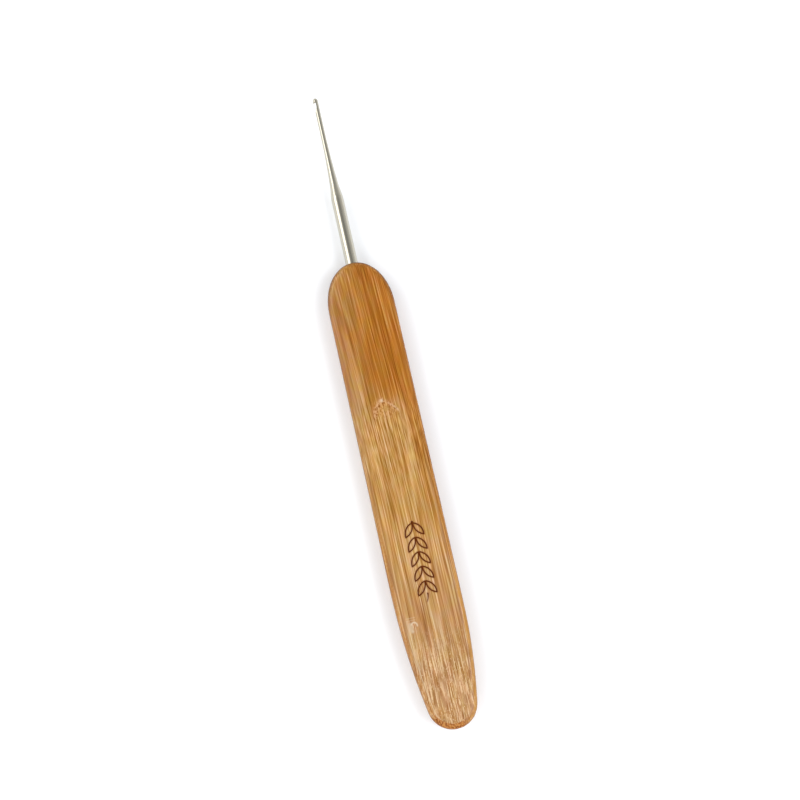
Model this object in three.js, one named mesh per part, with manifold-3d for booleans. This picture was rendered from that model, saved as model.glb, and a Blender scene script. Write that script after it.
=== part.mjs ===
// A fine steel crochet hook glued into a flat bamboo handle.
// Millimetres, +Z up. +Y runs along the object to the hook's tip, and +X is to the right seen
// from above. The origin is below the middle of the object, on the surface that it lies on.

import * as THREE from 'three';
import { LoftGeometry } from 'three/addons/geometries/LoftGeometry.js';
import { mergeVertices } from 'three/addons/utils/BufferGeometryUtils.js';
import Module from 'manifold-3d';

const wasm = await Module();
wasm.setup();

// ---------------------------------------------------------------- driving dimensions

const OVERALL_LENGTH = 135;
const EXPOSED_STEEL = 38; // from the nose of the handle to the tip

// Handle, a flat strip with every edge rounded
const HANDLE_WIDTH = 13.8;
const HANDLE_THICKNESS = 6;
const EDGE_RADIUS = 1.3;
const NOSE_LENGTH = 9.7; // of the half-ellipse at the steel end
const BUTT_RADIUS = 5.0;
const BUTT_OFFSET = 0.25; // the butt's arc is centred this far to the right of the axis
const TAPER_LEFT = 29.6; // from the butt to where the left side starts to curve in
const TAPER_RIGHT = 23.6; // the same on the right side
const BUTT_SLOPE = 20; // length over which the faces fall away towards the butt
const BUTT_DROP_TOP = 0.9;
const BUTT_DROP_BOTTOM = 0.5;
const NOSE_SLOPE = 6; // length over which both faces fall away towards the nose
const NOSE_DROP = 0.3;

// Blind bore in the nose
const BORE_RADIUS = 1.5;
const BORE_DEPTH = 22.6; // to the shoulder of the drill point
const DRILL_POINT_ANGLE = 118; // degrees, the included angle

// Steel, one turned rod
const SHANK_RADIUS = 1.3;
const TANG_LENGTH = 21.5; // hidden in the bore
const TANG_CHAMFER = 0.4;
const CONE_START = 20.4; // these four are measured back from the tip
const CONE_END = 23.0;
const SLENDER_START = 8.0;
const NECK_START = 2.9;
const CONE_START_RADIUS = 0.96;
const NECK_RADIUS = 0.55;
const HEAD_RADIUS = 0.57;
const HEAD_NOSE = 0.8; // length of the half-ellipsoid at the tip
const SLENDER_POWER = 2.0; // how late the slender taper gathers speed
const KEY_GROOVES = 4; // glue keys turned round the tang
const KEY_SPACING = 4;
const KEY_LENGTH = 0.9;
const KEY_DEPTH = 0.12;

// Throat, milled into the left of the head. Lengths are back from the tip.
const LIP_POINT = 1.2;
const THROAT_UNDERCUT = 0.3; // how far the throat reaches forward under the lip
const THROAT_FLOOR = 0.02; // the floor is this far left of the axis
const THROAT_FLOOR_END = 2.35;
const THROAT_EXIT = 3.25;
const THROAT_ROUND = 0.16;

// Glue between the tang and the bore
const GLUE_CLEARANCE = 0.03; // modelling gap to the steel and to the wood
const GLUE_RECESS = 0.26; // how far the glue stops inside the mouth

const ROUND_SEGMENTS = 32;

// ---------------------------------------------------------------- places worked out from them

const TIP_Y = OVERALL_LENGTH / 2;
const BUTT_Y = -OVERALL_LENGTH / 2;
const MOUTH_Y = TIP_Y - EXPOSED_STEEL;
const NOSE_START_Y = MOUTH_Y - NOSE_LENGTH;
const HALF_WIDTH = HANDLE_WIDTH / 2;
const AXIS_Z = HANDLE_THICKNESS / 2;
const LEFT = -1;
const RIGHT = 1;

// ---------------------------------------------------------------- helpers

function ramp(amount) {
	// 0 to 1 with a level start, for a face that falls away gently
	const held = THREE.MathUtils.clamp(amount, 0, 1);
	return held * held;
}

function toManifold(geometry) {
	const bare = new THREE.BufferGeometry();
	bare.setAttribute('position', geometry.attributes.position);
	bare.setIndex(geometry.index);
	const merged = mergeVertices(bare, 1e-4);
	return new wasm.Manifold(new wasm.Mesh({
		numProp: 3,
		vertProperties: new Float32Array(merged.attributes.position.array),
		triVerts: new Uint32Array(merged.index.array),
	}));
}

function fromManifold(solid) {
	const mesh = solid.getMesh();
	const geometry = new THREE.BufferGeometry();
	geometry.setAttribute('position', new THREE.BufferAttribute(mesh.vertProperties, 3));
	geometry.setIndex(new THREE.BufferAttribute(mesh.triVerts, 1));
	return geometry;
}

function cut(body, tool) {
	return fromManifold(toManifold(body).subtract(toManifold(tool)));
}

function turned(profile) {
	// A solid of revolution about the steel's axis. The profile's points are (radius, y).
	const geometry = new THREE.LatheGeometry(profile, ROUND_SEGMENTS);
	geometry.translate(0, 0, AXIS_Z);
	return geometry;
}

// ---------------------------------------------------------------- handle

// Half of the handle's outline: the distance from the axis to the left or right edge at y.
// From the butt it is a small arc, a long arc tangent to it, a straight and a half-ellipse.
function sideArcs(side) {
	const taperY = BUTT_Y + (side === LEFT ? TAPER_LEFT : TAPER_RIGHT);
	const reach = HALF_WIDTH - side * BUTT_OFFSET;
	const centreY = BUTT_Y + BUTT_RADIUS;
	const run = taperY - centreY;
	const longRadius = (run ** 2 + reach ** 2 - BUTT_RADIUS ** 2) / (2 * (reach - BUTT_RADIUS));
	const joinAngle = Math.atan2(run, longRadius - reach);
	const joinY = centreY - BUTT_RADIUS * Math.sin(joinAngle);
	return { taperY, centreY, longRadius, joinY };
}

function edgeX(side, y) {
	const arcs = sideArcs(side);
	if (y < arcs.joinY) {
		const rise = arcs.centreY - y;
		return BUTT_OFFSET + side * Math.sqrt(Math.max(0, BUTT_RADIUS ** 2 - rise ** 2));
	}
	if (y < arcs.taperY) {
		const rise = arcs.taperY - y;
		return side * (HALF_WIDTH - arcs.longRadius + Math.sqrt(arcs.longRadius ** 2 - rise ** 2));
	}
	if (y < NOSE_START_Y) return side * HALF_WIDTH;
	const along = Math.min(1, (y - NOSE_START_Y) / NOSE_LENGTH);
	return side * HALF_WIDTH * Math.sqrt(1 - along ** 2);
}

function edgeNormal(side, y) {
	const step = 1e-3;
	const low = Math.max(BUTT_Y, y - step);
	const high = Math.min(MOUTH_Y, y + step);
	const along = new THREE.Vector2(edgeX(side, high) - edgeX(side, low), high - low).normalize();
	return new THREE.Vector2(side * along.y, -side * along.x);
}

// Stations along the handle, close together round the butt and the nose
function stations() {
	const places = [];
	const buttSteps = 9;
	for (let i = 1; i <= buttSteps; i++) {
		const angle = (i / buttSteps) * THREE.MathUtils.degToRad(75);
		places.push(BUTT_Y + BUTT_RADIUS * (1 - Math.cos(angle)));
	}
	const middleStart = places[places.length - 1];
	const middleSteps = 28;
	for (let i = 1; i <= middleSteps; i++) {
		places.push(THREE.MathUtils.lerp(middleStart, NOSE_START_Y, i / middleSteps));
	}
	const noseSteps = 12;
	for (let i = 1; i < noseSteps; i++) {
		const angle = (i / noseSteps) * Math.PI / 2;
		places.push(NOSE_START_Y + NOSE_LENGTH * Math.sin(angle));
	}
	return places;
}

// Heights of the two faces: level, and falling away towards the butt and the nose
function faceHeights(y) {
	const butt = ramp((BUTT_Y + BUTT_SLOPE - y) / BUTT_SLOPE);
	const nose = ramp((y - MOUTH_Y + NOSE_SLOPE) / NOSE_SLOPE);
	return {
		bottom: BUTT_DROP_BOTTOM * butt + NOSE_DROP * nose,
		top: HANDLE_THICKNESS - BUTT_DROP_TOP * butt - NOSE_DROP * nose,
	};
}

function handlePoint(x, y, level) {
	// level is a height in the untapered strip, from 0 to HANDLE_THICKNESS
	const faces = faceHeights(y);
	const z = THREE.MathUtils.lerp(faces.bottom, faces.top, level / HANDLE_THICKNESS);
	return new THREE.Vector3(x, y, z);
}

// One closed ring round the handle, moved in from the outline by inset, at one level
function outlineRing(places, inset, level) {
	const ring = [handlePoint(BUTT_OFFSET, BUTT_Y + inset, level)];
	const sidePoint = (side, y) => {
		const normal = edgeNormal(side, y);
		return handlePoint(edgeX(side, y) - inset * normal.x, y - inset * normal.y, level);
	};
	for (const y of places) ring.push(sidePoint(RIGHT, y));
	ring.push(handlePoint(0, MOUTH_Y - inset, level));
	for (const y of [...places].reverse()) ring.push(sidePoint(LEFT, y));
	return ring;
}

// The same ring closed onto the line midway between its sides, which makes a face of the strip
function closedRing(ring, level) {
	const count = ring.length;
	return ring.map((point, i) => {
		const partner = ring[(count - i) % count];
		const y = (point.y + partner.y) / 2;
		return handlePoint((point.x + partner.x) / 2, y, level);
	});
}

function bambooHandle() {
	const places = stations();
	const roundSteps = 5;
	const rings = [];
	for (let i = 0; i <= roundSteps; i++) {
		const angle = (i / roundSteps) * Math.PI / 2;
		const inset = EDGE_RADIUS * (1 - Math.sin(angle));
		rings.push(outlineRing(places, inset, EDGE_RADIUS * (1 - Math.cos(angle))));
	}
	for (let i = roundSteps; i >= 0; i--) {
		const angle = (i / roundSteps) * Math.PI / 2;
		const inset = EDGE_RADIUS * (1 - Math.sin(angle));
		const level = HANDLE_THICKNESS - EDGE_RADIUS * (1 - Math.cos(angle));
		rings.push(outlineRing(places, inset, level));
	}
	rings.unshift(closedRing(rings[0], 0));
	rings.push(closedRing(rings[rings.length - 1], HANDLE_THICKNESS));
	return cut(new LoftGeometry(rings), boreTool());
}

function drillPoint(radius) {
	return radius / Math.tan(THREE.MathUtils.degToRad(DRILL_POINT_ANGLE / 2));
}

function boreTool() {
	const shoulderY = MOUTH_Y - BORE_DEPTH;
	const beyondMouth = MOUTH_Y + 1;
	return turned([
		new THREE.Vector2(0, shoulderY - drillPoint(BORE_RADIUS)),
		new THREE.Vector2(BORE_RADIUS, shoulderY),
		new THREE.Vector2(BORE_RADIUS, beyondMouth),
		new THREE.Vector2(0, beyondMouth),
	]);
}

// ---------------------------------------------------------------- steel hook

// The tang's end, its glue keys, the shank, the cone, the slender taper and the head
function steelProfile() {
	const profile = [];
	const add = (radius, y) => profile.push(new THREE.Vector2(radius, y));
	const tangEnd = MOUTH_Y - TANG_LENGTH;
	add(0, tangEnd);
	add(SHANK_RADIUS - TANG_CHAMFER, tangEnd);
	add(SHANK_RADIUS, tangEnd + TANG_CHAMFER);
	for (let i = 1; i <= KEY_GROOVES; i++) {
		const start = tangEnd + i * KEY_SPACING;
		add(SHANK_RADIUS, start);
		add(SHANK_RADIUS - KEY_DEPTH, start + KEY_DEPTH);
		add(SHANK_RADIUS - KEY_DEPTH, start + KEY_LENGTH - KEY_DEPTH);
		add(SHANK_RADIUS, start + KEY_LENGTH);
	}
	add(SHANK_RADIUS, MOUTH_Y);
	add(SHANK_RADIUS, TIP_Y - CONE_END - 0.3);
	add(SHANK_RADIUS - 0.02, TIP_Y - CONE_END + 0.2);
	add(CONE_START_RADIUS + 0.05, TIP_Y - CONE_START - 0.35);
	const taperSteps = 9;
	for (let i = taperSteps; i >= 0; i--) {
		const along = i / taperSteps;
		const growth = (CONE_START_RADIUS - NECK_RADIUS) * along ** SLENDER_POWER;
		add(NECK_RADIUS + growth, TIP_Y - THREE.MathUtils.lerp(SLENDER_START, CONE_START, along));
	}
	add(NECK_RADIUS, TIP_Y - NECK_START);
	add(HEAD_RADIUS, TIP_Y - LIP_POINT - 0.1);
	const headSteps = 6;
	for (let i = 0; i < headSteps; i++) {
		const angle = (i / headSteps) * Math.PI / 2;
		add(HEAD_RADIUS * Math.cos(angle), TIP_Y - HEAD_NOSE * (1 - Math.sin(angle)));
	}
	add(0, TIP_Y);
	return profile;
}

// The cutter that opens the throat: it runs in under the lip, along a flat floor, and out on a
// long slope. It is drawn in plan and goes through the rod from below to above.
function throatTool() {
	const outside = -2 * HEAD_RADIUS;
	const lipX = -HEAD_RADIUS;
	const lipY = TIP_Y - LIP_POINT;
	const deepX = -THROAT_FLOOR;
	const deepY = lipY + THROAT_UNDERCUT;
	const floorEndY = TIP_Y - THROAT_FLOOR_END;
	const exitY = TIP_Y - THROAT_EXIT;
	const floorEase = 0.3;
	const plan = new THREE.Shape();
	plan.moveTo(outside, lipY - THROAT_UNDERCUT);
	plan.lineTo(outside, exitY);
	plan.lineTo(lipX, exitY);
	plan.lineTo(deepX - 0.09, floorEndY - floorEase);
	plan.quadraticCurveTo(deepX, floorEndY - 0.05, deepX, floorEndY + floorEase);
	plan.lineTo(deepX, deepY - THROAT_ROUND);
	plan.quadraticCurveTo(deepX, deepY + 0.02, deepX - THROAT_ROUND, deepY - 0.1);
	plan.lineTo(lipX, lipY);
	plan.closePath();
	const height = 4 * HEAD_RADIUS;
	const tool = new THREE.ExtrudeGeometry(plan, {
		depth: height,
		bevelEnabled: false,
		curveSegments: 6,
	});
	tool.translate(0, 0, AXIS_Z - height / 2);
	return tool;
}

function steelHook() {
	return cut(turned(steelProfile()), throatTool());
}

// ---------------------------------------------------------------- glue

// A thin sleeve round the tang, closed by a plug in the point of the bore
function glueBond() {
	const outer = BORE_RADIUS - GLUE_CLEARANCE;
	const inner = SHANK_RADIUS + GLUE_CLEARANCE;
	const rimY = MOUTH_Y - GLUE_RECESS;
	const shoulderY = MOUTH_Y - BORE_DEPTH;
	const plugY = MOUTH_Y - TANG_LENGTH - GLUE_CLEARANCE;
	const tipY = shoulderY - drillPoint(outer);
	return turned([
		new THREE.Vector2(0, tipY),
		new THREE.Vector2(outer, shoulderY),
		new THREE.Vector2(outer, rimY),
		new THREE.Vector2((outer + inner) / 2, rimY - 0.05),
		new THREE.Vector2(inner, rimY),
		new THREE.Vector2(inner, plugY),
		new THREE.Vector2(0, plugY),
	]);
}

// ---------------------------------------------------------------- the object

const bamboo = new THREE.MeshStandardMaterial({ color: '#bd8345', roughness: 0.45, metalness: 0 });
const steel = new THREE.MeshStandardMaterial({ color: '#c9c5ba', roughness: 0.2, metalness: 1 });
const glue = new THREE.MeshStandardMaterial({ color: '#d9c79a', roughness: 0.3, metalness: 0 });

function piece(name, geometry, material) {
	const mesh = new THREE.Mesh(geometry, material);
	mesh.name = name;
	return mesh;
}

const crochetHook = new THREE.Group();
crochetHook.add(piece('bamboo_handle', bambooHandle(), bamboo));
crochetHook.add(piece('steel_hook', steelHook(), steel));
crochetHook.add(piece('glue_bond', glueBond(), glue));

export default crochetHook;
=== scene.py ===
"""A fine steel crochet hook in a flat bamboo handle, lying on a pale surface.

Shapes are worked out in millimetres, in the CAD's frame: +Y to the hook's tip, +Z up, +X to the
right seen from above. They are scaled to metres as each mesh is made.
"""

import math

import bpy
import numpy as np
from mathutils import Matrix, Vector, noise


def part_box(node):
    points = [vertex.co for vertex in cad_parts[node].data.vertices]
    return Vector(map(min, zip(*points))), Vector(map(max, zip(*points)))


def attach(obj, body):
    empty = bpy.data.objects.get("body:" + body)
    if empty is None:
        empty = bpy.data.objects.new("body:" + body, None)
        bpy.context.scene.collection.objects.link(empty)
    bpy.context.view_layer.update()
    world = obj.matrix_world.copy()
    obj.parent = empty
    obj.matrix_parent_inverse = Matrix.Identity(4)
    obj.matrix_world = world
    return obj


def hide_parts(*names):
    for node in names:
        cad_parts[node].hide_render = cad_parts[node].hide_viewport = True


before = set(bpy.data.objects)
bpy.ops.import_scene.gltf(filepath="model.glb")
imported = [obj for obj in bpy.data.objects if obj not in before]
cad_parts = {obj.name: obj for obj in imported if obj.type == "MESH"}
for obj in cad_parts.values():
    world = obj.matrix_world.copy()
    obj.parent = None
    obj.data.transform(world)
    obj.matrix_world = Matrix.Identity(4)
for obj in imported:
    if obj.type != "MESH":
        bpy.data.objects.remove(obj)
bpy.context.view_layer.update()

MM = 0.001
LEFT, RIGHT = -1, 1

# ------------------------------------------------------------------ sizes from the frame

handle_low, handle_high = [np.array(corner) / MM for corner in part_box("bamboo_handle")]
steel_low, steel_high = [np.array(corner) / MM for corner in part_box("steel_hook")]
BUTT_Y = handle_low[1]
MOUTH_Y = handle_high[1]
HALF_WIDTH = handle_high[0]
THICKNESS = handle_high[2]
TIP_Y = steel_high[1]
TANG_END_Y = steel_low[1]
SHANK_RADIUS = steel_high[0]
AXIS_Z = (steel_low[2] + steel_high[2]) / 2

# ------------------------------------------------------------------ proportions of the handle

EDGE_RADIUS = 1.3
NOSE_LENGTH = 9.7
BUTT_RADIUS = 5.0
BUTT_OFFSET = 0.25  # how far the butt's arc lies to the right of the middle
TAPER = {LEFT: 29.6, RIGHT: 23.6}  # from the butt to where each side starts to curve in
BUTT_SLOPE = 20  # length over which the faces close in on each other towards the butt
BUTT_DROP_TOP = 0.9
BUTT_DROP_BOTTOM = 0.5
NOSE_SLOPE = 6  # the same towards the nose
NOSE_DROP = 0.3
BORE_RADIUS = 1.5
BORE_DEPTH = 22.6
BORE_POINT = 0.87  # length of the drill point
NOSE_START_Y = MOUTH_Y - NOSE_LENGTH

# Marks on the top face
SCAR_X, SCAR_Y = -0.3, -0.55  # apex of the arch that the bud left at the node
SCAR_REACH = {LEFT: 2.15, RIGHT: 3.0}
SCAR_HEIGHT = 2.7
SCAR_POWER = 1.35
SCAR_WIDTH = {LEFT: 0.52, RIGHT: 0.34}
BUD_X, BUD_Y = SCAR_X + 0.55, SCAR_Y - 1.85  # middle of the smooth spot under the arch
BUD_RADIUS = 0.75
SCUFF_X, SCUFF_Y = -3.7, -46.25  # middle of the knock's small round pit
MOTIF_X = 0.3
MOTIF_START_Y = -27.6  # middle of the first pair of leaves
MOTIF_PITCH = 2.95
MOTIF_PAIRS = 5
MOTIF_HALF_WIDTH = 2.35
LEAF_HALF_LENGTH = 1.55
LEAF_HALF_WIDTH = 0.56
LEAF_TILT = math.radians(34)
LEAF_OUT = 0.98  # from the motif's axis to the middle of a leaf
STROKE_HALF_WIDTH = 0.12
STROKE_DEPTH = 0.1
DOT_RADIUS = 0.12
BURN_REACH = 0.45  # how far from a stroke's middle the wood is browned
STEM_END_X, STEM_END_Y = -0.15, -42.1
STEM_THINNING = 0.08
ROUGH_START_Y = -49  # the butt is rougher from here on
ROUGH_FULL_Y = -57

# How far the surface stands out or sinks in, in millimetres
FIBRE_RELIEF = 0.006
STRAND_RELIEF = 0.004
SANDING_RELIEF = 0.02
ROUGH_FIBRE_RELIEF = 0.014
ROUGH_PIT_RELIEF = 0.022
SCAR_HEIGHT_OUT = 0.04
SCAR_GRAIN_RELIEF = 0.06
HOLLOW_GRAIN_RELIEF = 0.03
KNOCK_RIM_RELIEF = 0.05
DENT_DEPTH = 0.05
PIT_DEPTH = 0.07

# The handle's mesh: how many points it has and how far apart, closest over the marks
BUTT_ROWS = 16
BUTT_ROWS_ANGLE = math.radians(75)
NOSE_ROWS = 34
TAPER_STEP = 0.32
MOTIF_STEP = 0.075
COLUMN_STEP = 0.16
ROW_STRETCHES = [  # (y where it starts, spacing of its rows)
    (ROUGH_START_Y, 0.4),
    (-48.1, 0.12),  # the knock
    (-44.2, 0.4),
    (-42.2, MOTIF_STEP),  # the motif
    (-25.6, 0.75),
    (-4.6, 0.11),  # the scar
    (0.6, 0.75),
]
ROUND_POINTS = 9
WALL_POINTS = 6
BOTTOM_POINTS = 29
BORE_SEGMENTS = 64
HANDLE_WELD = 2e-4
BORE_WELD = 1e-4

# ------------------------------------------------------------------ proportions of the steel

# Places along the rod are measured back from its tip
CONE_START = 20.4
CONE_END = 23.0
SLENDER_START = 8.0  # from here the rod thickens towards the cone
NECK_START = 2.9
CONE_START_RADIUS = 0.96
NECK_RADIUS = 0.55
HEAD_RADIUS = 0.57
HEAD_NOSE = 0.8
HEAD_END = 1.3
SLENDER_POWER = 2.0
CONE_ROUNDING = 0.45  # how far each way the corners at the cone's ends are smoothed
TANG_CHAMFER = 0.4
KEY_GROOVES = 4
KEY_SPACING = 4
KEY_LENGTH = 0.9
KEY_DEPTH = 0.12
LIP_POINT = 1.2  # the point of the lip, at the left side of the rod
THROAT_TILT = 0.75  # slope of the lip's underside
THROAT_FLOOR = 0.02
THROAT_FLOOR_END = 2.35
THROAT_EXIT = 3.25
FLOOR_EASE = 0.3  # roundness of the turn from the throat's floor to its slope out
CUT_BLEND = 0.0012  # roundness of the cut's edges, in square millimetres

# The steel's mesh: its rows tilt to follow the lip, and lie closest at the throat
TILT_GROWS = (0, 0.62)
TILT_FADES = (1.7, 4.0)
THROAT_ROWS_END = 4.1
THROAT_STEP = 0.05
SLENDER_STEP = 0.45
CONE_STEP = 0.14
CONE_MARGIN = 0.8  # how far past the cone's ends its close rows run
SHANK_STEP = 1.2
STEEL_SEGMENTS = 72
STEEL_WELD = 2e-5


# ------------------------------------------------------------------ helpers

def smoothstep(low, high, value):
    share = np.clip((value - low) / (high - low), 0, 1)
    return share * share * (3 - 2 * share)


def ramp(share):
    held = np.clip(share, 0, 1)
    return held * held


def bell(distance, width):
    return np.exp(-((distance / width) ** 2))


def spread(start, end, step):
    """Evenly spaced values from start up to, but not including, end."""
    count = max(1, round(abs(end - start) / step))
    return list(np.linspace(start, end, count, endpoint=False))


def grain_noise(points, across, along, seed):
    """Noise drawn out along the fibres: across and along are its frequencies per millimetre."""
    shift = 37.3 * seed
    return np.array([
        noise.noise(Vector((x * across + shift, y * along + shift, z * across)))
        for x, y, z in points
    ])


def make_object(name, points, faces, material):
    """A mesh object from points in millimetres."""
    mesh = bpy.data.meshes.new(name)
    mesh.from_pydata([tuple(p) for p in points * MM], [], faces)
    mesh.update()
    made = bpy.data.objects.new(name, mesh)
    bpy.context.scene.collection.objects.link(made)
    mesh.materials.append(material)
    return made


def apply_modifiers(piece):
    graph = bpy.context.evaluated_depsgraph_get()
    mesh = bpy.data.meshes.new_from_object(piece.evaluated_get(graph), depsgraph=graph)
    piece.modifiers.clear()
    old = piece.data
    piece.data = mesh
    bpy.data.meshes.remove(old)


def weld(piece, gap_mm):
    """Merges points that lie together, which also removes the faces between them."""
    modifier = piece.modifiers.new("weld", "WELD")
    modifier.merge_threshold = gap_mm * MM
    apply_modifiers(piece)


def shade(piece, sharp_degrees):
    for polygon in piece.data.polygons:
        polygon.use_smooth = True
    piece.data.set_sharp_from_angle(angle=math.radians(sharp_degrees))


def grid_faces(rows, columns):
    """Quads between rows of points, each row closed on itself."""
    faces = []
    for row in range(rows - 1):
        for column in range(columns):
            across = (column + 1) % columns
            here, there = row * columns, (row + 1) * columns
            faces.append((here + column, here + across, there + across, there + column))
    return faces


# ------------------------------------------------------------------ handle

def side_arcs(side):
    taper_y = BUTT_Y + TAPER[side]
    reach = HALF_WIDTH - side * BUTT_OFFSET
    centre_y = BUTT_Y + BUTT_RADIUS
    run = taper_y - centre_y
    long_radius = (run**2 + reach**2 - BUTT_RADIUS**2) / (2 * (reach - BUTT_RADIUS))
    join_angle = math.atan2(run, long_radius - reach)
    join_y = centre_y - BUTT_RADIUS * math.sin(join_angle)
    return taper_y, centre_y, long_radius, join_y


def edge_x(side, y):
    """The outline: a small arc at the butt, a long arc, a straight and a half-ellipse."""
    taper_y, centre_y, long_radius, join_y = side_arcs(side)
    butt = np.sqrt(np.maximum(0, BUTT_RADIUS**2 - (centre_y - y) ** 2)) + side * BUTT_OFFSET
    rise = np.maximum(0, taper_y - y)
    taper = HALF_WIDTH - long_radius + np.sqrt(long_radius**2 - rise**2)
    along = np.clip((y - NOSE_START_Y) / NOSE_LENGTH, 0, 1)
    nose = HALF_WIDTH * np.sqrt(1 - along**2)
    return side * np.where(y < join_y, butt, np.where(y < NOSE_START_Y, taper, nose))


def edge_normal(side, y):
    step = 1e-3
    low = np.maximum(BUTT_Y, y - step)
    high = np.minimum(MOUTH_Y, y + step)
    dx = edge_x(side, high) - edge_x(side, low)
    dy = high - low
    length = np.hypot(dx, dy)
    return np.stack([side * dy / length, -side * dx / length], -1)


def handle_rows():
    """Places along the handle, closest where there is most to show."""
    butt_angles = np.linspace(0, BUTT_ROWS_ANGLE, BUTT_ROWS)
    rows = list(BUTT_Y + BUTT_RADIUS * (1 - np.cos(butt_angles)))
    rows += spread(rows[-1] + 0.3, ROUGH_START_Y, TAPER_STEP)
    ends = [start for start, _ in ROW_STRETCHES[1:]] + [NOSE_START_Y]
    for (start, step), end in zip(ROW_STRETCHES, ends):
        rows += spread(start, end, step)
    nose_angles = np.linspace(0, math.pi / 2, NOSE_ROWS)
    rows += list(NOSE_START_Y + NOSE_LENGTH * np.sin(nose_angles))
    return np.array(rows)


def top_columns():
    """Shares of the way across the top face, closest over the motif."""
    inner = HALF_WIDTH - EDGE_RADIUS
    left, right = MOTIF_X - MOTIF_HALF_WIDTH, MOTIF_X + MOTIF_HALF_WIDTH
    places = spread(-inner, left, COLUMN_STEP)
    places += spread(left, right, MOTIF_STEP)
    places += spread(right, inner, COLUMN_STEP)
    places.append(inner)
    return (np.array(places) + inner) / (2 * inner)


def face_heights(y):
    butt = ramp((BUTT_Y + BUTT_SLOPE - y) / BUTT_SLOPE)
    nose = ramp((y - MOUTH_Y + NOSE_SLOPE) / NOSE_SLOPE)
    bottom = BUTT_DROP_BOTTOM * butt + NOSE_DROP * nose
    top = THICKNESS - BUTT_DROP_TOP * butt - NOSE_DROP * nose
    return bottom, top


def handle_ring():
    """One ring of the handle's section as (kind, share or side, angle or level) steps."""
    round_angles = np.linspace(math.pi / 2, 0, ROUND_POINTS)[1:]
    wall_levels = np.linspace(THICKNESS - EDGE_RADIUS, EDGE_RADIUS, WALL_POINTS)[1:]
    down = [("round", angle) for angle in round_angles]
    down += [("wall", level) for level in wall_levels]
    down += [("round", -angle) for angle in round_angles[::-1][1:]]
    bottom_shares = np.linspace(1, 0, BOTTOM_POINTS)
    ring = [("top", share, 0) for share in top_columns()]
    ring += [("side", RIGHT, step) for step in down]
    ring += [("bottom", share, 0) for share in bottom_shares]
    ring += [("side", LEFT, step) for step in reversed(down)]
    return ring


def handle_surface():
    """Points and outward normals of the smooth handle, as rows of rings."""
    rows = handle_rows()
    ring = handle_ring()
    edges = {s: np.stack([edge_x(s, rows), rows], -1) for s in (LEFT, RIGHT)}
    normals = {s: edge_normal(s, rows) for s in (LEFT, RIGHT)}
    normals[LEFT][0] = normals[RIGHT][0] = (0, -1)
    normals[LEFT][-1] = normals[RIGHT][-1] = (0, 1)
    inner = {s: edges[s] - EDGE_RADIUS * normals[s] for s in (LEFT, RIGHT)}
    places = np.zeros((len(rows), len(ring), 3))
    facing = np.zeros((len(rows), len(ring), 3))
    for column, (kind, where, step) in enumerate(ring):
        if kind in ("top", "bottom"):
            flat = inner[LEFT] * (1 - where) + inner[RIGHT] * where
            level = THICKNESS if kind == "top" else 0
            facing[:, column, 2] = 1 if kind == "top" else -1
        else:
            shape, value = step
            angle = value if shape == "round" else 0
            inset = EDGE_RADIUS * (1 - math.cos(angle))
            flat = edges[where] - inset * normals[where]
            if shape == "wall":
                level = value
            elif angle >= 0:
                level = THICKNESS - EDGE_RADIUS * (1 - math.sin(angle))
            else:
                level = EDGE_RADIUS * (1 + math.sin(angle))
            facing[:, column, :2] = math.cos(angle) * normals[where]
            facing[:, column, 2] = math.sin(angle)
        bottom, top = face_heights(flat[:, 1])
        places[:, column, :2] = flat
        places[:, column, 2] = bottom + (top - bottom) * level / THICKNESS
    return places, facing


def leaf_distance(x, y, tilt):
    """Distance from the outline of a pointed leaf that stands along y, turned by tilt."""
    across = np.abs(x * math.cos(tilt) + y * math.sin(tilt))
    along = np.abs(-x * math.sin(tilt) + y * math.cos(tilt))
    radius = (LEAF_HALF_LENGTH**2 + LEAF_HALF_WIDTH**2) / (2 * LEAF_HALF_WIDTH)
    offset = radius - LEAF_HALF_WIDTH
    past_tip = along - LEAF_HALF_LENGTH
    beyond = past_tip * offset > across * LEAF_HALF_LENGTH
    tip = np.hypot(across, past_tip)
    arc = np.abs(np.hypot(across + offset, along) - radius)
    return np.where(beyond, tip, arc)


def motif_distance(x, y):
    """Distance from the burnt strokes: pairs of leaves in a row, a dot and a short stem."""
    near = np.full(x.shape, np.inf)
    for pair in range(MOTIF_PAIRS):
        centre_y = MOTIF_START_Y - pair * MOTIF_PITCH
        for side in (LEFT, RIGHT):
            leaf = leaf_distance(x - MOTIF_X - side * LEAF_OUT, y - centre_y, side * LEAF_TILT)
            near = np.minimum(near, leaf)
    dot_y = MOTIF_START_Y + MOTIF_PITCH * 0.5
    dot = np.hypot(x - MOTIF_X, y - dot_y) - DOT_RADIUS
    stem_y = MOTIF_START_Y - (MOTIF_PAIRS - 0.6) * MOTIF_PITCH
    along = np.clip((stem_y - y) / (stem_y - STEM_END_Y), 0, 1)
    stem_x = MOTIF_X + (STEM_END_X - MOTIF_X) * along**2
    stem = np.hypot(x - stem_x, y - (stem_y + (STEM_END_Y - stem_y) * along))
    return np.minimum(near, np.maximum(np.minimum(dot, stem + STEM_THINNING * along), 0))


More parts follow.
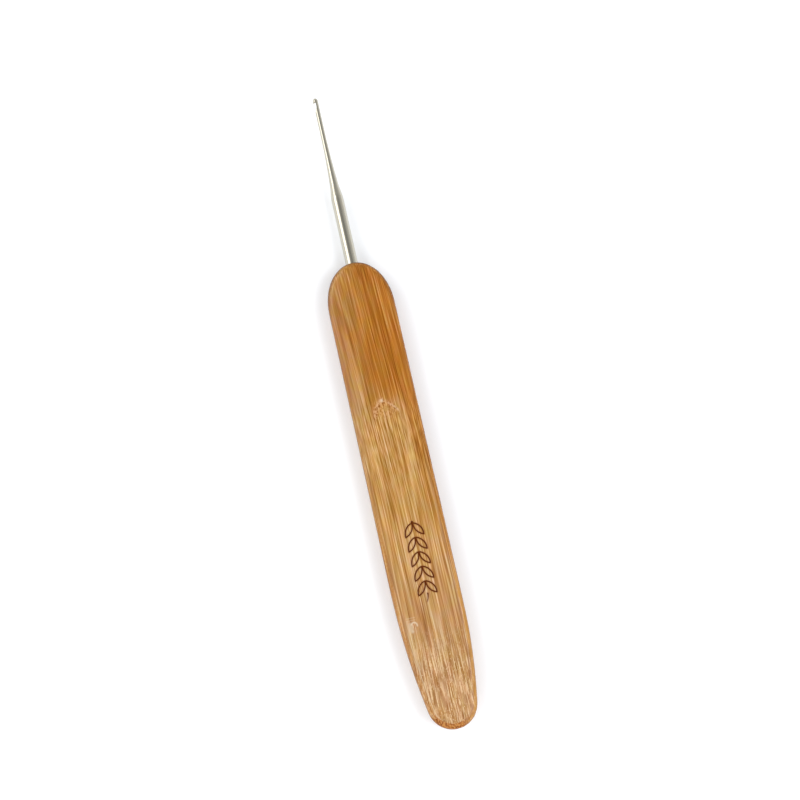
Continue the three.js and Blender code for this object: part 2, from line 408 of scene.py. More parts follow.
def scar_marks(x, y):
    """The bud scar: its arch, the hollow under the arch and the painted highlights (glints) on it.
    """
    reach = np.where(x < SCAR_X, SCAR_REACH[LEFT], SCAR_REACH[RIGHT])
    across = np.abs(x - SCAR_X) / reach
    slope = SCAR_POWER * SCAR_HEIGHT / reach * across ** (SCAR_POWER - 1)
    above = y - SCAR_Y + SCAR_HEIGHT * across**SCAR_POWER
    gap = above / np.sqrt(1 + slope**2)
    width = np.where(x < SCAR_X + 0.5, SCAR_WIDTH[LEFT], SCAR_WIDTH[RIGHT])
    ends = 1 - smoothstep(0.95, 1.12, across)
    arch = bell(gap, width) * ends
    below = smoothstep(0.0, 0.5, -gap) * smoothstep(-5.0, -3.0, y)
    hollow = below * smoothstep(1.4, 0.9, across)
    apex = np.exp(-((x - SCAR_X) ** 2 + (y - SCAR_Y + 0.1) ** 2) / 0.08)
    right_leg = bell(gap, 0.13) * smoothstep(0.45, 0.65, across) * (x > SCAR_X)
    return arch, hollow, 0.9 * apex + 0.22 * right_leg * ends


def bud_spot(x, y):
    """0 to 1 in the smooth spot under the arch."""
    return 1 - smoothstep(0.5, 1.15, np.hypot(x - BUD_X, y - BUD_Y) / BUD_RADIUS)


def scuff_marks(x, y):
    """The knock near the left edge: a greyed dent and the bright lines round it, which are painted
    highlights.
    """
    u, v = x - SCUFF_X, y - SCUFF_Y  # from the middle of the pit
    dent = 1 - smoothstep(0.6, 1.1, np.hypot((u + 0.72) / 0.5, (v + 0.3) / 1.25))
    pit = 1 - smoothstep(0.5, 1.1, np.hypot(u / 0.5, v / 0.62))
    rim = bell(np.hypot(u / 0.58, v / 0.68) - 1, 0.2) * smoothstep(-0.2, 0.25, v + 0.4 * u)
    window = smoothstep(-1.6, -1.2, u) * smoothstep(0.65, 0.35, u)
    lines = (bell(v - 1.15, 0.09) + bell(v - 1.6, 0.09)) * window
    side = bell(u + 1.32, 0.1) * smoothstep(-2.1, -1.4, v) * smoothstep(1.5, 0.8, v)
    fleck = np.exp(-((u + 0.45) ** 2 + (v + 1.05) ** 2) / 0.05)
    return dent, pit, rim + 0.35 * lines + 0.4 * side + 0.6 * fleck


def handle_relief(points, facing):
    """How far the surface stands out, in millimetres, and the marks that colour it."""
    x, y = points.T[:2]
    upper = smoothstep(0.75, 0.99, facing[:, 2])
    rough = 1 - smoothstep(ROUGH_FULL_Y, ROUGH_START_Y, y)
    fibres = grain_noise(points, 1.9, 0.055, 1)
    strands = grain_noise(points, 4.2, 0.25, 2)
    pits = grain_noise(points, 3.2, 0.9, 3)
    sanding = grain_noise(points, 0.16, 0.11, 4)
    grains = grain_noise(points, 3.4, 2.6, 5)
    height = FIBRE_RELIEF * fibres + STRAND_RELIEF * strands + SANDING_RELIEF * sanding
    height += rough * upper * (ROUGH_FIBRE_RELIEF * fibres + ROUGH_PIT_RELIEF * pits)
    arch, hollow, scar_glint = scar_marks(x, y)
    crest = arch * (SCAR_HEIGHT_OUT + SCAR_GRAIN_RELIEF * grains)
    height += upper * (crest + HOLLOW_GRAIN_RELIEF * hollow * grains)
    dent, pit, scuff_glint = scuff_marks(x, y)
    knock = KNOCK_RIM_RELIEF * scuff_glint - DENT_DEPTH * dent - PIT_DEPTH * pit
    height += upper * knock
    stroke = motif_distance(x, y)
    groove = 1 - smoothstep(STROKE_HALF_WIDTH * 0.45, STROKE_HALF_WIDTH * 1.35, stroke)
    height -= upper * STROKE_DEPTH * groove * (1 + 0.25 * pits)
    marks = {
        "burn": upper * (1 - np.clip(stroke / BURN_REACH, 0, 1)),
        "scar": upper * arch,
        "hollow": upper * hollow,
        "bud": upper * bud_spot(x, y),
        "dent": upper * dent,
        # painted highlights: glints on the scar and round the knock
        "glint": upper * np.clip(scar_glint + scuff_glint, 0, 1),
        "edge": 1 - np.abs(facing[:, 2]),
    }
    return height, marks


def bore_cutter():
    """A drill-shaped tool, closed, that runs out past the mouth."""
    shoulder_y = MOUTH_Y - BORE_DEPTH
    profile = [(0, shoulder_y - BORE_POINT), (BORE_RADIUS, shoulder_y)]
    profile += [(BORE_RADIUS, MOUTH_Y + 2), (0, MOUTH_Y + 2)]
    angles = np.linspace(0, 2 * math.pi, BORE_SEGMENTS, endpoint=False)
    rings = []
    for radius, y in profile:
        ring = np.stack([
            radius * np.cos(angles),
            np.full(BORE_SEGMENTS, y),
            AXIS_Z - radius * np.sin(angles),
        ], -1)
        rings.append(ring)
    faces = grid_faces(len(profile), BORE_SEGMENTS)
    made = make_object("bore_cutter", np.concatenate(rings), faces, None)
    weld(made, BORE_WELD)
    return made


def bamboo_handle(material):
    places, facing = handle_surface()
    rows, columns = places.shape[:2]
    points = places.reshape(-1, 3)
    out = facing.reshape(-1, 3)
    height, marks = handle_relief(points, out)
    points = points + out * height[:, None]
    made = make_object("handle_bamboo", points, grid_faces(rows, columns), material)
    for name, values in marks.items():
        layer = made.data.attributes.new(name, "FLOAT", "POINT")
        layer.data.foreach_set("value", values.astype(np.float32))
    weld(made, HANDLE_WELD)
    cutter = bore_cutter()
    hole = made.modifiers.new("bore", "BOOLEAN")
    hole.operation = "DIFFERENCE"
    hole.solver = "EXACT"
    hole.object = cutter
    apply_modifiers(made)
    bpy.data.objects.remove(cutter)
    shade(made, sharp_degrees=50)
    return made


# ------------------------------------------------------------------ steel

def steel_radius(back):
    """Radius of the rod at distances back from the tip."""
    nose = HEAD_RADIUS * np.sqrt(np.maximum(0, 1 - (1 - back / HEAD_NOSE) ** 2))
    neck_share = smoothstep(HEAD_END, NECK_START, back)
    neck = HEAD_RADIUS + (NECK_RADIUS - HEAD_RADIUS) * neck_share
    along = np.clip((back - SLENDER_START) / (CONE_START - SLENDER_START), 0, 1)
    slender = NECK_RADIUS + (CONE_START_RADIUS - NECK_RADIUS) * along**SLENDER_POWER
    cone_share = np.clip((back - CONE_START) / (CONE_END - CONE_START), 0, 1)
    cone = CONE_START_RADIUS + (SHANK_RADIUS - CONE_START_RADIUS) * cone_share
    outer = np.where(back < CONE_START, slender, cone)
    return np.where(back < HEAD_NOSE, nose, np.where(back < SLENDER_START, neck, outer))


def polished_radius(back):
    """The same radius with the corners at the ends of the cone rubbed round."""
    back = np.asarray(back, float)
    spans = np.linspace(-CONE_ROUNDING, CONE_ROUNDING, 9)
    blended = np.mean([steel_radius(back + span) for span in spans], axis=0)
    return np.where(back > SLENDER_START + 1, blended, steel_radius(back))


def throat_floor(back):
    """x of the throat's floor: level, then a slope out to the side of the rod."""
    slope = (NECK_RADIUS - THROAT_FLOOR) / (THROAT_EXIT - THROAT_FLOOR_END)
    past = back - THROAT_FLOOR_END
    ease = 0.5 * (past + np.sqrt(past**2 + FLOOR_EASE**2))
    return -THROAT_FLOOR - slope * ease


def steel_rings():
    """Rows of the rod as (distance back from the tip, share of the throat's cut)."""
    head = HEAD_NOSE * (1 - np.cos(np.linspace(0, 1.15, 12)))
    lip = LIP_POINT - THROAT_TILT * HEAD_RADIUS
    rings = [(back, 0.0) for back in head]
    rings += [(back, 0.0) for back in spread(head[-1] + THROAT_STEP, lip - 0.03, THROAT_STEP)]
    rings += [(lip - 0.03, 0.0), (lip - 0.01, 0.08), (lip, 0.22), (lip + 0.008, 0.75)]
    rings += [(lip + 0.03, 0.97)]
    rings += [(back, 1.0) for back in spread(lip + 0.06, THROAT_ROWS_END, THROAT_STEP)]
    cone_from, cone_to = CONE_START - CONE_MARGIN, CONE_END + CONE_MARGIN
    plain = spread(THROAT_ROWS_END, cone_from, SLENDER_STEP)
    plain += spread(cone_from, cone_to, CONE_STEP)
    plain += spread(cone_to, TIP_Y - MOUTH_Y, SHANK_STEP)
    return rings + [(back, 0.0) for back in plain]


def steel_points():
    """Rows of points round the rod, tilted at the throat to follow the lip."""
    angles = np.linspace(0, 2 * math.pi, STEEL_SEGMENTS, endpoint=False)
    rows = []
    for back, cut in steel_rings():
        tilt = THROAT_TILT * smoothstep(*TILT_GROWS, back) * (1 - smoothstep(*TILT_FADES, back))
        # In a tilted row the radius depends on x and x on the radius, so they settle by turns
        x = np.zeros(STEEL_SEGMENTS)
        for _ in range(6):
            radius = polished_radius(np.maximum(0, back - tilt * x))
            x = radius * np.cos(angles)
        z = radius * np.sin(angles)
        if cut > 0:
            floor = throat_floor(back - tilt * x)
            for _ in range(4):
                floor = throat_floor(back - tilt * np.maximum(x, floor))
            soft = 0.5 * (x + floor + np.sqrt((x - floor) ** 2 + CUT_BLEND))
            x = np.where(soft > x, x + cut * (soft - x), x)
        rows.append(np.stack([x, TIP_Y - back + tilt * x, AXIS_Z - z], -1))
    for radius, y in tang_profile():
        level = np.full(STEEL_SEGMENTS, y)
        flat = [radius * np.cos(angles), level, AXIS_Z - radius * np.sin(angles)]
        rows.append(np.stack(flat, -1))
    return np.array(rows)


def tang_profile():
    """(radius, y) down the hidden end of the rod, with its glue keys and its chamfer."""
    profile = [(SHANK_RADIUS, MOUTH_Y)]
    for key in range(KEY_GROOVES, 0, -1):
        start = TANG_END_Y + key * KEY_SPACING
        profile += [(SHANK_RADIUS, start + KEY_LENGTH)]
        profile += [(SHANK_RADIUS - KEY_DEPTH, start + KEY_LENGTH - KEY_DEPTH)]
        profile += [(SHANK_RADIUS - KEY_DEPTH, start + KEY_DEPTH)]
        profile += [(SHANK_RADIUS, start)]
    profile += [(SHANK_RADIUS, TANG_END_Y + TANG_CHAMFER)]
    profile += [(SHANK_RADIUS - TANG_CHAMFER, TANG_END_Y), (0, TANG_END_Y)]
    return profile


def steel_hook(material):
    rows = steel_points()
    faces = [tuple(reversed(face)) for face in grid_faces(len(rows), STEEL_SEGMENTS)]
    made = make_object("hook_steel", rows.reshape(-1, 3), faces, material)
    weld(made, STEEL_WELD)
    shade(made, sharp_degrees=35)
    return made


# ------------------------------------------------------------------ node graphs

class Graph:
    """A material's nodes, with short calls for the kinds used here."""

    def __init__(self, name):
        self.material = bpy.data.materials.new(name)
        self.material.use_nodes = True
        self.nodes = self.material.node_tree.nodes
        self.links = self.material.node_tree.links
        self.shader = self.nodes["Principled BSDF"]

    def feed(self, socket, value):
        if isinstance(value, bpy.types.NodeSocket):
            self.links.new(value, socket)
        else:
            socket.default_value = value

    def millimetres(self):
        """The object's own coordinates, in millimetres."""
        coordinates = self.nodes.new("ShaderNodeTexCoord").outputs["Object"]
        return self.scaled(coordinates, (1 / MM,) * 3)

    def scaled(self, vector, factors):
        node = self.nodes.new("ShaderNodeVectorMath")
        node.operation = "MULTIPLY"
        self.feed(node.inputs[0], vector)
        node.inputs[1].default_value = factors
        return node.outputs[0]

    def added(self, vector, other):
        node = self.nodes.new("ShaderNodeVectorMath")
        node.operation = "ADD"
        self.feed(node.inputs[0], vector)
        self.feed(node.inputs[1], other)
        return node.outputs[0]

    def split(self, vector):
        node = self.nodes.new("ShaderNodeSeparateXYZ")
        self.feed(node.inputs[0], vector)
        return node.outputs[0], node.outputs[1], node.outputs[2]

    def joined(self, x, y, z):
        node = self.nodes.new("ShaderNodeCombineXYZ")
        for socket, value in zip(node.inputs, (x, y, z)):
            self.feed(socket, value)
        return node.outputs[0]

    def noise(self, vector, across, along, detail=1.0, roughness=0.5):
        """Noise drawn out along y: across and along are its frequencies per unit of vector."""
        node = self.nodes.new("ShaderNodeTexNoise")
        self.feed(node.inputs["Vector"], self.scaled(vector, (across, along, across)))
        node.inputs["Scale"].default_value = 1.0
        node.inputs["Detail"].default_value = detail
        node.inputs["Roughness"].default_value = roughness
        return node.outputs[0]

    def cells(self, vector, across, along, randomness):
        """Distance from the middle of the nearest of a set of long cells."""
        node = self.nodes.new("ShaderNodeTexVoronoi")
        self.feed(node.inputs["Vector"], self.scaled(vector, (across, along, across)))
        node.inputs["Scale"].default_value = 1.0
        node.inputs["Randomness"].default_value = randomness
        return node.outputs["Distance"]

    def math(self, operation, a, b=0.0, c=0.0):
        node = self.nodes.new("ShaderNodeMath")
        node.operation = operation
        for socket, value in zip(node.inputs, (a, b, c)):
            self.feed(socket, value)
        return node.outputs[0]

    def total(self, *terms):
        """The sum of (value, weight) terms."""
        result = 0.0
        for value, weight in terms:
            result = self.math("MULTIPLY_ADD", value, weight, result)
        return result

    def product(self, *factors):
        result = factors[0]
        for factor in factors[1:]:
            result = self.math("MULTIPLY", result, factor)
        return result

    def span(self, value, low, high, to_low=0.0, to_high=1.0):
        """value from low to high, smoothly, as to_low to to_high."""
        node = self.nodes.new("ShaderNodeMapRange")
        node.interpolation_type = "SMOOTHSTEP"
        self.feed(node.inputs["Value"], value)
        node.inputs["From Min"].default_value = low
        node.inputs["From Max"].default_value = high
        node.inputs["To Min"].default_value = to_low
        node.inputs["To Max"].default_value = to_high
        return node.outputs["Result"]

    def mixed(self, share, first, second, blend="MIX"):
        node = self.nodes.new("ShaderNodeMix")
        node.data_type = "RGBA"
        node.blend_type = blend
        self.feed(node.inputs[0], share)
        self.feed(node.inputs[6], first)
        self.feed(node.inputs[7], second)
        return node.outputs[2]

    def painted(self, base, paint, *shares):
        """base with paint over it, as strongly as the product of the shares."""
        return self.mixed(self.product(*shares), base, paint)

    def ramp(self, share, stops):
        node = self.nodes.new("ShaderNodeValToRGB")
        self.feed(node.inputs[0], share)
        elements = node.color_ramp.elements
        while len(elements) < len(stops):
            elements.new(0.5)
        for element, (position, paint) in zip(elements, stops):
            element.position = position
            element.color = paint
        return node.outputs[0]

    def mark(self, name):
        node = self.nodes.new("ShaderNodeAttribute")
        node.attribute_name = name
        return node.outputs["Fac"]

    def bump(self, height, distance_mm):
        node = self.nodes.new("ShaderNodeBump")
        node.inputs["Strength"].default_value = 1.0
        node.inputs["Distance"].default_value = distance_mm * MM
        self.feed(node.inputs["Height"], height)
        return node.outputs[0]

    def set(self, **values):
        for name, value in values.items():
            self.feed(self.shader.inputs[name.replace("_", " ")], value)


def colour(red, green, blue):
    """A shown colour, 0 to 255 a channel, as the linear value that the shader takes."""
    def linear(level):
        share = level / 255
        return share / 12.92 if share <= 0.04045 else ((share + 0.055) / 1.055) ** 2.4
    return (linear(red), linear(green), linear(blue), 1.0)


def palette(*levels):
    """Stops for a ramp over the wood's tone, from its darkest fibres to its lightest."""
    tones = (0.20, 0.35, 0.50, 0.65, 0.80)
    return [(tone, colour(*level)) for tone, level in zip(tones, levels)]


# ------------------------------------------------------------------ colours of the wood

PALE_WOOD = palette((127, 82, 20), (149, 104, 43), (168, 125, 66), (187, 146, 89), (202, 165, 113))
ORANGE_WOOD = palette((108, 54, 1), (132, 75, 4), (152, 95, 24), (172, 116, 46), (188, 137, 72))
AMBER_WOOD = palette((104, 48, 1), (128, 69, 4), (148, 86, 20), (166, 105, 38), (184, 128, 62))
WORN_WOOD = palette((130, 86, 40), (151, 109, 62), (167, 126, 77), (182, 145, 98), (199, 168, 128))
BUTT_BAND = [
    (0.34, colour(104, 54, 10)),
    (0.48, colour(148, 86, 26)),
    (0.64, colour(176, 122, 60)),
]
PINK_TAN = colour(152, 108, 64)
# painted shade: a thin dark line where the edge starts to turn
CREASE_SHADE = colour(125, 76, 25)
EDGE_GOLD = colour(180, 132, 60)
PALE_EDGE_LINE = colour(206, 182, 146)
# painted shade on the walls where they turn down and under, and round the nose's rim
UNDER_SHADE = colour(96, 60, 30)
SCAR_CREST = colour(194, 148, 106)
SCAR_PIT = colour(124, 72, 22)
SCAR_RAY = colour(190, 142, 92)
BUD_TAN = colour(164, 124, 64)
DENT_GREY = colour(186, 162, 132)
# painted highlight for the glints on the node's scar and round the knock
PAINTED_GLINT = colour(204, 186, 160)
SCORCHED = colour(118, 60, 6)
BURNT = colour(80, 30, 0)
# painted highlights on the rough butt's dashes and specks
LIT_DASH = colour(210, 180, 142)
DULL_DASH = colour(126, 78, 32)
# painted sheen near the butt's end
PAINTED_SHEEN = colour(184, 144, 108)

# Factors that shift a colour's hue by a little
GREENER, REDDER = (0.955, 1.02, 1.0, 1.0), (1.045, 0.975, 0.97, 1.0)
YELLOWER, GREYER = (1.01, 1.04, 0.94, 1.0), (1.0, 1.02, 1.52, 1.0)

# Where the fibres lean, and by how much to the side per millimetre
LEAN_START_Y = -22.0
LEAN_EASE = 9.0
LEAN_SLOPE = 0.028
SWAY = 0.3


# ------------------------------------------------------------------ materials

def fibre_space(g, place):
    """Coordinates that follow the fibres: they lean a little in the upper half."""
    x, y, z = g.split(place)
    lean = g.product(g.math("SMOOTH_MAX", y, LEAN_START_Y, LEAN_EASE), LEAN_SLOPE)
    sway = g.noise(place, 0.10, 0.04, 0.0)
    shift = g.math("MULTIPLY_ADD", sway, SWAY, lean)
    return g.joined(g.math("ADD", x, shift), y, z)


def wood_tone(g, fibres, nose, ticks, butt):
    """Light and dark along the fibres, round 0.5; nose, ticks and butt are zones."""
    def streaks(across, along):
        return g.math("SUBTRACT", g.noise(fibres, across, along, 0.0, 0.6), 0.5)

    def broken_streaks(across, along, run):
        """Straight streaks that come and go along their length."""
        presence = g.noise(fibres, across * 0.6, run, 0.0)
        return g.product(streaks(across, along), g.span(presence, 0.3, 0.7, 0.4, 1.4))

    strands = g.cells(fibres, 1.75, 0.04, 0.8)
    cores = g.span(strands, 0.05, 0.40, -0.5, 0.5)
    dashes = streaks(3.6, 0.24)
    flecks = streaks(5.0, 0.42)
    hairs = streaks(5.6, 0.10)
    fine = g.total(
        (streaks(1.25, 0.015), 0.13),
        (broken_streaks(2.3, 0.02, 0.12), 0.24),
        (broken_streaks(3.6, 0.03, 0.18), 0.50),
        (hairs, 1.15),
        (cores, 0.03),
        (dashes, 0.12),
    )
    lively = g.math("MULTIPLY_ADD", nose, -0.15, 0.70)
    broad = g.math("MULTIPLY_ADD", nose, 0.2, 0.03)
    return g.total(
        (fine, lively),
        (streaks(0.45, 0.05), broad),
        (g.product(flecks, ticks), 0.5),
        (g.product(dashes, butt), 0.32),
        (1.0, 0.5),
    )


def paleness(g, fibres, x, y):
    """0 where the wood is orange and 1 where it is tan, uneven along the fibres."""
    patches = g.noise(fibres, 0.22, 0.05)
    below_node = g.span(y, 3.5, -4.0)
    leftward = g.product(g.span(x, 2.4, -5.0), 0.72)
    right_strip = g.product(g.span(x, 3.2, 5.4), g.span(y, -24.0, -6.0, 0.3, 0.75))
    pale = g.product(
        g.math("MAXIMUM", below_node, leftward),
        g.math("SUBTRACT", 1.0, right_strip),
    )
    uneven = g.product(g.math("SUBTRACT", patches, 0.5), g.span(y, -6.0, 4.0, 0.14, 0.9))
    return g.math("ADD", pale, uneven)


def amber_share(g, fibres, x, y):
    """Where the wood is deeper still: in blotches, and on the right of the nose."""
    blotches = g.noise(fibres, 0.55, 0.09)
    right_of_nose = g.product(g.span(x, -2.0, 4.0), g.span(y, -8.0, 4.0, 0.0, 0.62))
    deep = g.product(g.span(blotches, 0.48, 0.66), g.span(y, -6.0, 8.0, 0.15, 0.6))
    return g.math("MAXIMUM", deep, right_of_nose)


def mottled(g, wood, place, strength):
    """Small shifts of hue: redder or greener, yellower or greyer."""
    red = g.noise(place, 0.9, 0.34)
    elsewhere = g.added(place, (31.0, 7.0, 0.0))
    grey = g.noise(elsewhere, 0.8, 0.4)
    redder = g.mixed(g.span(red, 0.3, 0.7), GREENER, REDDER)
    greyer = g.mixed(g.span(grey, 0.3, 0.7), YELLOWER, GREYER)
    wood = g.mixed(g.math("MULTIPLY_ADD", strength, 0.6, 0.5), wood, redder, "MULTIPLY")
    return g.mixed(strength, wood, greyer, "MULTIPLY")


def wood_colour(g, place, fibres, tone):
    """Orange at the nose and down the right side, tan below the node, worn at the butt."""
    x, y, _ = g.split(place)
    orange, pale = g.ramp(tone, ORANGE_WOOD), g.ramp(tone, PALE_WOOD)
    wood = g.mixed(paleness(g, fibres, x, y), orange, pale)
    wood = g.painted(wood, g.ramp(tone, WORN_WOOD), g.span(y, -22.0, -48.0))
    wood = g.painted(wood, g.ramp(tone, AMBER_WOOD), amber_share(g, fibres, x, y))
    left_edge = g.span(x, -3.6, -5.4)
    wood = g.painted(wood, PINK_TAN, left_edge, g.span(y, -25.0, 0.0), 0.35)
    return mottled(g, wood, place, g.span(y, -8.0, 4.0, 0.5, 1.0))


def butt_dashes(g, place):
    """Noise in short dashes along the fibres."""
    dashes = g.noise(place, 4.8, 0.14)
    breaks = g.noise(place, 2.4, 0.6)
    return g.math("MULTIPLY_ADD", g.math("SUBTRACT", breaks, 0.5), 0.3, dashes)


def butt_colour(g, wood, place, rough, dashes):
    """Painted highlights where the rough butt catches light, in dashes and specks, with darker
    dashes between; a painted sheen lies near its end.
    """
    y = g.split(place)[1]
    specks = g.noise(place, 4.4, 2.4)
    lit = g.math("MAXIMUM", g.span(dashes, 0.56, 0.66), g.span(specks, 0.60, 0.72))
    dull = g.math("MAXIMUM", g.span(dashes, 0.49, 0.38), g.span(specks, 0.38, 0.28))
    # painted highlights where the rough butt's dashes and specks catch light
    wood = g.painted(wood, LIT_DASH, rough, lit, 0.75)
    wood = g.painted(wood, DULL_DASH, rough, dull, 0.55)
    # painted sheen near the butt's end
    cloud = g.noise(place, 0.7, 0.28)
    near_end = g.span(y, -53.0, -61.0)
    return g.painted(wood, PAINTED_SHEEN, g.span(cloud, 0.42, 0.62), near_end, 0.35)


def rim_colour(g, wood, tone, edge, x, y, dots):
    """Orange on the rounded edge, along the lower half and all down the right side: partly the
    wood's own deeper colour, partly painted, standing in for the lacquer's grazing reflection.
    """
    turning = g.span(edge, 0.01, 0.12)
    lower_or_right = g.math("MAXIMUM", g.span(y, -10.0, -34.0), g.span(x, 0.0, 4.0))
    patchy = g.span(dots, 0.35, 0.62, 0.35, 0.8)
    above_butt = g.span(y, -60.0, -48.0, 0.55, 1.0)
    orange = g.ramp(tone, ORANGE_WOOD)
    # partly painted: the edge's orange stands in for the lacquer's grazing reflection
    return g.painted(wood, orange, turning, lower_or_right, patchy, above_butt)


def edge_lines(g, wood, edge, x, y, dots):
    """Painted shade as a thin brown line where the edge starts, gold on the right and a pale line
    on the left.
    """
    crease = g.product(g.span(edge, 0.0, 0.004), g.span(edge, 0.035, 0.012))
    lower_half = g.product(g.span(y, -8.0, -26.0), g.span(y, -61.0, -57.0))
    # painted shade: a thin brown line where the edge starts to turn, down the lower half
    wood = g.painted(wood, CREASE_SHADE, crease, lower_half, 0.55)
    lower_right = g.product(g.span(x, 2.0, 3.6), g.span(y, -30.0, -44.0))
    patchy = g.span(dots, 0.3, 0.6, 0.25, 0.6)
    wood = g.painted(wood, EDGE_GOLD, g.span(edge, 0.04, 0.2), lower_right, patchy)
    # a pale line on the left where the edge starts
    line = g.product(g.span(edge, 0.0, 0.002), g.span(edge, 0.02, 0.008))
    lower_left = g.product(g.span(x, -2.0, -3.0), g.span(y, -44.0, -50.0))
    return g.painted(wood, PALE_EDGE_LINE, line, lower_left, 0.6)


def butt_band(g, wood, edge, x, y, dots):
    """A ragged band of rich brown round the end of the butt, weaker at its sides."""
    ragged = g.math("MULTIPLY_ADD", g.math("SUBTRACT", dots, 0.5), 6.0, y)
    band = g.product(g.span(edge, 0.0, 0.02), g.span(ragged, -63.6, -65.0))
    middle = g.product(g.span(x, 3.4, 1.0, 0.15, 1.0), g.span(x, -4.7, -3.6, 0.3, 1.0))
    return g.painted(wood, g.ramp(dots, BUTT_BAND), band, middle)


def edge_colour(g, wood, tone, place, dots):
    """The rounded edges: orange, partly painted; painted shade where they turn steeply down and
    under and round the nose's rim; rich brown at the butt.
    """
    x, y, _ = g.split(place)
    edge = g.mark("edge")
    wood = rim_colour(g, wood, tone, edge, x, y, dots)
    wood = edge_lines(g, wood, edge, x, y, dots)
    wood = butt_band(g, wood, edge, x, y, dots)
    # painted shade: the walls darken where they turn steeply down and under, and a darker line
    # runs round the nose's rim
    under = g.product(g.span(edge, 0.35, 0.95), 0.5)
    nose_rim = g.product(g.span(edge, 0.15, 0.5), g.span(y, 16.0, 23.0, 0.0, 0.7))
    return g.painted(wood, UNDER_SHADE, g.math("MAXIMUM", under, nose_rim))


def marked(g, wood, dots):
    """The node's scar, the knock near the edge and the burnt motif, as the mesh carries them."""
    scar, hollow, burn = g.mark("scar"), g.mark("hollow"), g.mark("burn")
    wood = g.painted(wood, SCAR_CREST, scar, g.span(dots, 0.36, 0.56), 0.8)
    whole_scar = g.math("ADD", scar, hollow)
    wood = g.painted(wood, SCAR_PIT, whole_scar, g.span(dots, 0.50, 0.38), 0.55)
    wood = g.painted(wood, SCAR_RAY, hollow, g.span(dots, 0.52, 0.64), 0.7)
    wood = g.painted(wood, BUD_TAN, g.mark("bud"), 0.6)
    wood = g.painted(wood, DENT_GREY, g.mark("dent"), 0.8)
    # painted highlights: the glints on the scar and round the knock
    wood = g.painted(wood, PAINTED_GLINT, g.mark("glint"), 0.85)
    wood = g.painted(wood, SCORCHED, g.span(burn, 0.1, 0.7, 0.0, 0.42))
    return g.painted(wood, BURNT, g.span(burn, 0.60, 0.80, 0.0, 0.95))


def bamboo_material():
    g = Graph("caramel_bamboo")
    place = g.millimetres()
    y = g.split(place)[1]
    fibres = fibre_space(g, place)
    nose = g.span(y, -4.0, 4.0)
    below_node = g.product(g.span(y, 3.0, -5.0), g.span(y, -26.0, -8.0))
    rough = g.span(y, -44.0, -57.0)
    tone = wood_tone(g, fibres, nose, below_node, rough)
    dashes = butt_dashes(g, place)
    dots = g.noise(place, 3.9, 1.9)
    wood = wood_colour(g, place, fibres, tone)
    wood = butt_colour(g, wood, place, rough, dashes)
    wood = edge_colour(g, wood, tone, place, dots)
    wood = marked(g, wood, dots)
    groove = g.span(g.mark("burn"), 0.62, 0.82)
    g.set(
        Base_Color=wood,
        Roughness=g.total((tone, -0.15), (dashes, 0.12), (groove, 0.35), (1.0, 0.48)),
        Specular_IOR_Level=0.02,
        Coat_Weight=g.math("MULTIPLY_ADD", groove, -0.38, 0.40),
        Coat_Roughness=0.2,
        Normal=g.bump(tone, 0.014),
    )
    return g.material


def steel_material():
    g = Graph("nickel_plate")
    place = g.millimetres()
    scratches = g.noise(place, 9.0, 0.8, 3.0, 0.6)
    turning = g.noise(place, 0.6, 14.0, 2.0)
    mottle = g.noise(place, 2.2, 1.1, 2.0)
    g.set(
        Base_Color=g.mixed(scratches, colour(183, 178, 163), colour(198, 194, 180)),
        Metallic=1.0,
        Roughness=g.total((scratches, 0.10), (turning, 0.06), (1.0, 0.08)),
        Normal=g.bump(g.total((turning, 0.12), (scratches, 0.12), (mottle, 1.0)), 0.007),
    )
    return g.material


def glue_material():
    g = Graph("cured_glue")
    cloud = g.noise(g.millimetres(), 1.2, 1.2, 2.0)
    g.set(
        Base_Color=g.mixed(cloud, colour(206, 176, 120), colour(226, 204, 158)),
        Roughness=g.span(cloud, 0.3, 0.7, 0.2, 0.38),
        Normal=g.bump(cloud, 0.01),
    )
    return g.material


def floor_material():
    g = Graph("pale_paper")
    g.set(Base_Color=(0.912, 0.928, 0.955, 1.0), Roughness=0.9, Specular_IOR_Level=0.1)
    return g.material


# ------------------------------------------------------------------ the pieces

handle = bamboo_handle(bamboo_material())
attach(handle, "root")
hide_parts("bamboo_handle")

hook = steel_hook(steel_material())
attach(hook, "root")
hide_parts("steel_hook")

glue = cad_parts["glue_bond"]
glue.data.materials.clear()
glue.data.materials.append(glue_material())

# ------------------------------------------------------------------ floor, light and camera

FLOOR_HALF = 1.5
DIM_SPOT = Vector((0.24, 0.18, 0.95))  # direction in which the dome is dimmest
DIM_LEVEL = 0.24
DOME_LEVEL = 1.15
LIGHT_DISTANCE = 0.6
CAMERA_TARGET = Vector((3.526, -0.754, 3.0)) * MM
CAMERA_AZIMUTH = -12.56
CAMERA_ELEVATION = 79.0
CAMERA_DISTANCE = 0.2923
CAMERA_LENS = 64.0


def make_floor():
    corners = np.array([(-1, -1, 0), (1, -1, 0), (1, 1, 0), (-1, 1, 0)]) * FLOOR_HALF / MM
    made = make_object("floor", corners, [(0, 1, 2, 3)], floor_material())


def direction(azimuth, elevation):
    """From the object towards a place: azimuth 0 is in front, on the butt's side."""
    a, e = math.radians(azimuth), math.radians(elevation)
    return Vector((math.sin(a) * math.cos(e), -math.cos(a) * math.cos(e), math.sin(e)))


def aim(piece, target, azimuth, elevation, distance):
    away = direction(azimuth, elevation)
    piece.location = target + away * distance
    piece.rotation_euler = away.to_track_quat("Z", "Y").to_euler()


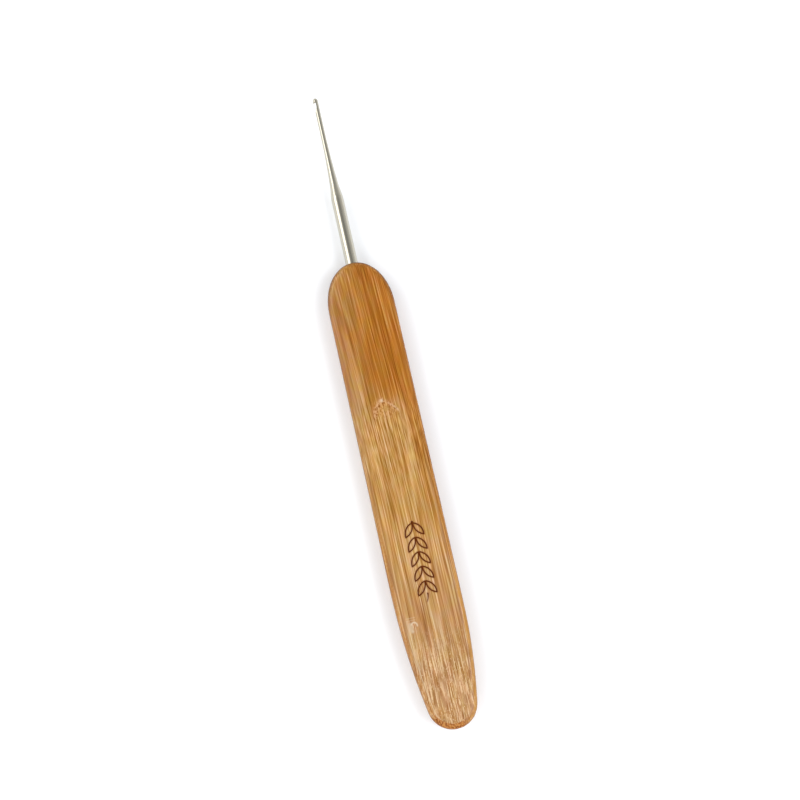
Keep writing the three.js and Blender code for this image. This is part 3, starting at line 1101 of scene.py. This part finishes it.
def soft_light(name, azimuth, elevation, size, power, tint):
    light = bpy.data.lights.new(name, "AREA")
    light.shape = "RECTANGLE"
    light.size, light.size_y = size
    light.energy = power
    light.color = tint
    made = bpy.data.objects.new(name, light)
    bpy.context.scene.collection.objects.link(made)
    made.visible_camera = False
    aim(made, Vector((0, 0, 0)), azimuth, elevation, LIGHT_DISTANCE)


def make_world():
    """Soft light from all round, dimmer round a spot just right of straight above."""
    world = bpy.data.worlds.new("studio")
    world.use_nodes = True
    nodes, links = world.node_tree.nodes, world.node_tree.links
    background = nodes["Background"]
    place = nodes.new("ShaderNodeTexCoord").outputs["Generated"]
    facing = nodes.new("ShaderNodeVectorMath")
    facing.operation = "DOT_PRODUCT"
    links.new(place, facing.inputs[0])
    facing.inputs[1].default_value = DIM_SPOT.normalized()
    away = nodes.new("ShaderNodeMath")
    away.operation = "SUBTRACT"
    away.inputs[0].default_value = 1.0
    links.new(facing.outputs["Value"], away.inputs[1])
    root = nodes.new("ShaderNodeMath")
    root.operation = "POWER"
    links.new(away.outputs[0], root.inputs[0])
    root.inputs[1].default_value = 0.5
    level = nodes.new("ShaderNodeMath")
    level.operation = "MULTIPLY_ADD"
    links.new(root.outputs[0], level.inputs[0])
    level.inputs[1].default_value = DOME_LEVEL - DIM_LEVEL
    level.inputs[2].default_value = DIM_LEVEL
    links.new(level.outputs[0], background.inputs["Strength"])
    background.inputs["Color"].default_value = (1.0, 1.0, 1.0, 1.0)
    bpy.context.scene.world = world


def make_camera():
    camera = bpy.data.cameras.new("camera")
    camera.sensor_width = 36
    camera.lens = CAMERA_LENS
    camera.clip_start = 0.01
    made = bpy.data.objects.new("camera", camera)
    bpy.context.scene.collection.objects.link(made)
    aim(made, CAMERA_TARGET, CAMERA_AZIMUTH, CAMERA_ELEVATION, CAMERA_DISTANCE)
    bpy.context.scene.camera = made


make_floor()
make_world()
soft_light("left_softbox", -108, 44, size=(0.62, 0.4), power=1.45, tint=(1.0, 0.99, 0.97))
soft_light("right_softbox", 68, 50, size=(0.4, 0.4), power=1.85, tint=(0.98, 0.99, 1.0))
soft_light("front_softbox", -8, 46, size=(0.6, 0.4), power=0.8, tint=(1.0, 1.0, 1.0))
make_camera()
bpy.context.scene.view_settings.view_transform = "Standard"
